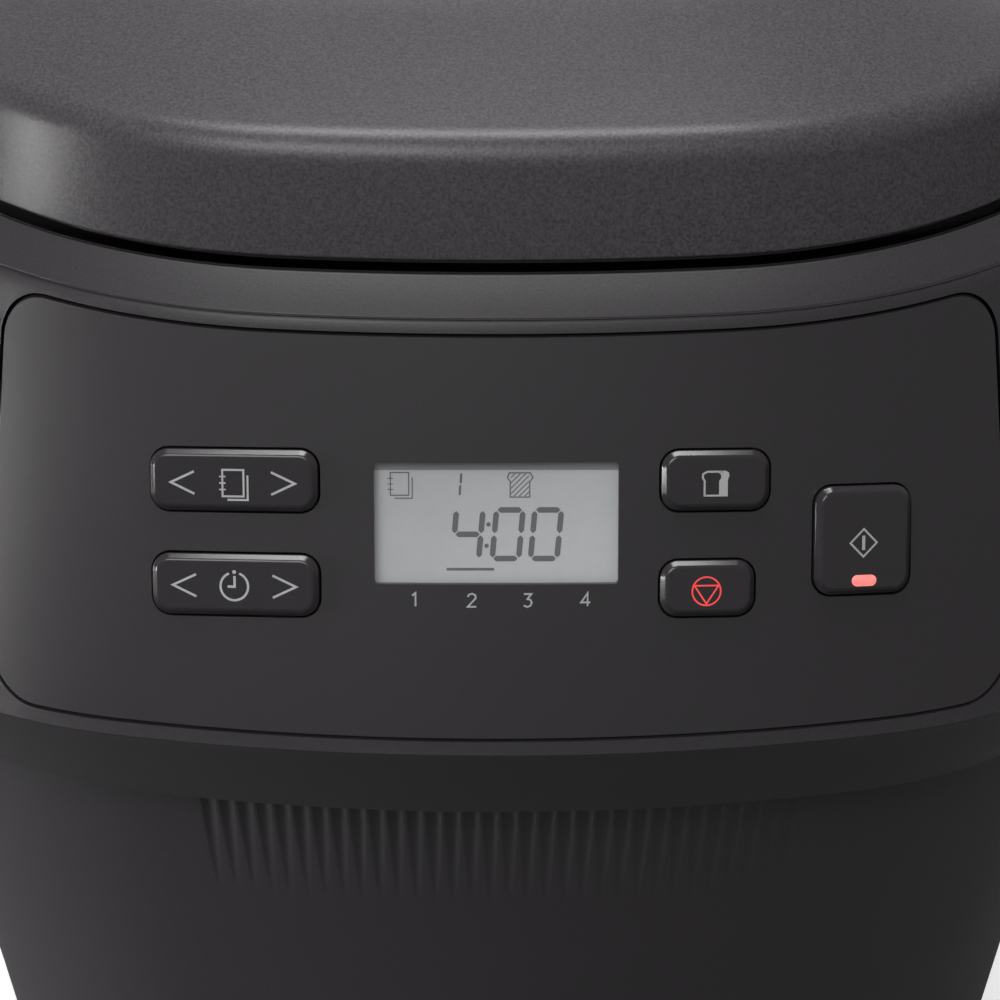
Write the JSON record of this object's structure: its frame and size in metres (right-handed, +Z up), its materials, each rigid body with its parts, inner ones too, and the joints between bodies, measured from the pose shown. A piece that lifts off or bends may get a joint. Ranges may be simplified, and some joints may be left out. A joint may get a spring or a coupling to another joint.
{
  "type": "bread machine",
  "caption": "Countertop bread machine with a hinged domed lid, bowed sloping control panel, fluted lower casing, lift-out bread pan and belt-driven kneading blade.",
  "frame": {"origin": "on the floor, under the middle of the casing", "axes": "+X to the right seen from the control panel, +Y from the control panel to the lid hinge, +Z up"},
  "size_m": [0.318, 0.37, 0.3604],
  "materials": {
    "casing": "fine grained moulded plastic, charcoal",
    "panel": "smooth moulded plastic, charcoal",
    "key": "satin moulded plastic, near black",
    "window": "clear",
    "display": "liquid crystal grey",
    "lamp": "clear red",
    "rubber": "matte",
    "steel": "bright",
    "sheet": "plain sheet",
    "element": "oxidised sheath",
    "board": "circuit board",
    "switch": "moulded",
    "die_cast": "die cast",
    "bronze": "sintered",
    "motor": "satin",
    "nylon": "natural",
    "non_stick": "dark non-stick coat"
  },
  "bodies": {
    "housing": {"base_plate": "casing", "feet": "rubber", "base_screws": "steel", "lower_casing": "casing", "upper_casing": "casing", "top_frame": "casing", "hinge_pins": "steel", "control_panel": "panel", "display_window": "window", "display_module": "display", "control_board": "board", "key_switches": "switch", "board_screws": "steel", "oven_liner": "sheet", "heating_element": "element", "heater_clips": "steel", "temperature_sensor": "steel", "pan_seat": "die_cast", "chassis": "steel", "drive_bearing": "bronze", "motor": "motor", "drive_belt": "rubber", "power_board": "board", "cord_gland": "rubber"},
    "lid": {"lid_cover": "casing", "lid_base": "casing", "lid_liner": "sheet", "lid_seal": "rubber", "steam_vent": "key", "lid_screws": "steel"},
    "drive": {"drive_shaft": "steel", "drive_pulley": "nylon", "drive_coupling": "die_cast"},
    "rotor": {"motor_shaft": "steel", "motor_pulley": "nylon", "cooling_fan": "nylon"},
    "pan": {"bread_pan": "non_stick", "pan_base": "die_cast", "shaft_bush": "bronze", "shaft_seal": "rubber", "handle_studs": "steel"},
    "handle": {"pan_handle": "steel"},
    "kneader": {"kneading_shaft": "steel", "pan_coupling": "die_cast", "kneading_blade": "non_stick"},
    "program_rocker": {"program_key": "key"},
    "timer_rocker": {"timer_key": "key"},
    "size_button": {"size_key": "key"},
    "stop_button": {"stop_key": "key"},
    "start_button": {"start_key": "key", "start_lamp": "lamp"}
  },
  "joints": [
    {"name": "lid_hinge", "type": "hinge", "parent": "housing", "child": "lid", "pos_m": [0, 0.165, 0.3295], "axis": [-1, 0, 0], "range_deg": [0, 95]},
    {"name": "drive_spin", "type": "hinge", "parent": "housing", "child": "drive", "pos_m": [0, -0.018, 0.046], "axis": [0, 0, 1], "continuous": true},
    {"name": "rotor_spin", "type": "hinge", "parent": "housing", "child": "rotor", "pos_m": [0, 0.112, 0.046], "axis": [0, 0, 1], "continuous": true},
    {"name": "pan_lift", "type": "slide", "parent": "housing", "child": "pan", "axis": [0, 0, 1], "range_m": [0, 0.012]},
    {"name": "handle_swing", "type": "hinge", "parent": "pan", "child": "handle", "pos_m": [0, -0.018, 0.243], "axis": [1, 0, 0], "range_deg": [0, 45]},
    {"name": "kneader_spin", "type": "hinge", "parent": "pan", "child": "kneader", "pos_m": [0, -0.018, 0.12], "axis": [0, 0, 1], "continuous": true},
    {"name": "program_rock", "type": "hinge", "parent": "housing", "child": "program_rocker", "pos_m": [-0.04845, -0.15706, 0.28694], "axis": [0, 0.4073, 0.9133], "range_deg": [-2, 2], "stiffness_Nm_per_rad": 0.4},
    {"name": "timer_rock", "type": "hinge", "parent": "housing", "child": "timer_rocker", "pos_m": [-0.04845, -0.165, 0.26913], "axis": [0, 0.4073, 0.9133], "range_deg": [-2, 2], "stiffness_Nm_per_rad": 0.4},
    {"name": "size_press", "type": "slide", "parent": "housing", "child": "size_button", "axis": [-0.0889, 0.9097, -0.4057], "range_m": [0, 0.0008], "stiffness_N_per_m": 1500},
    {"name": "stop_press", "type": "slide", "parent": "housing", "child": "stop_button", "axis": [-0.086, 0.9099, -0.4058], "range_m": [0, 0.0008], "stiffness_N_per_m": 1500},
    {"name": "start_press", "type": "slide", "parent": "housing", "child": "start_button", "axis": [-0.2144, 0.8921, -0.3978], "range_m": [0, 0.0008], "stiffness_N_per_m": 1500}
  ],
  "couplings": [
    {"joint": "rotor_spin", "follows": "drive_spin", "ratio": 4},
    {"joint": "kneader_spin", "follows": "drive_spin", "ratio": 1}
  ]
}
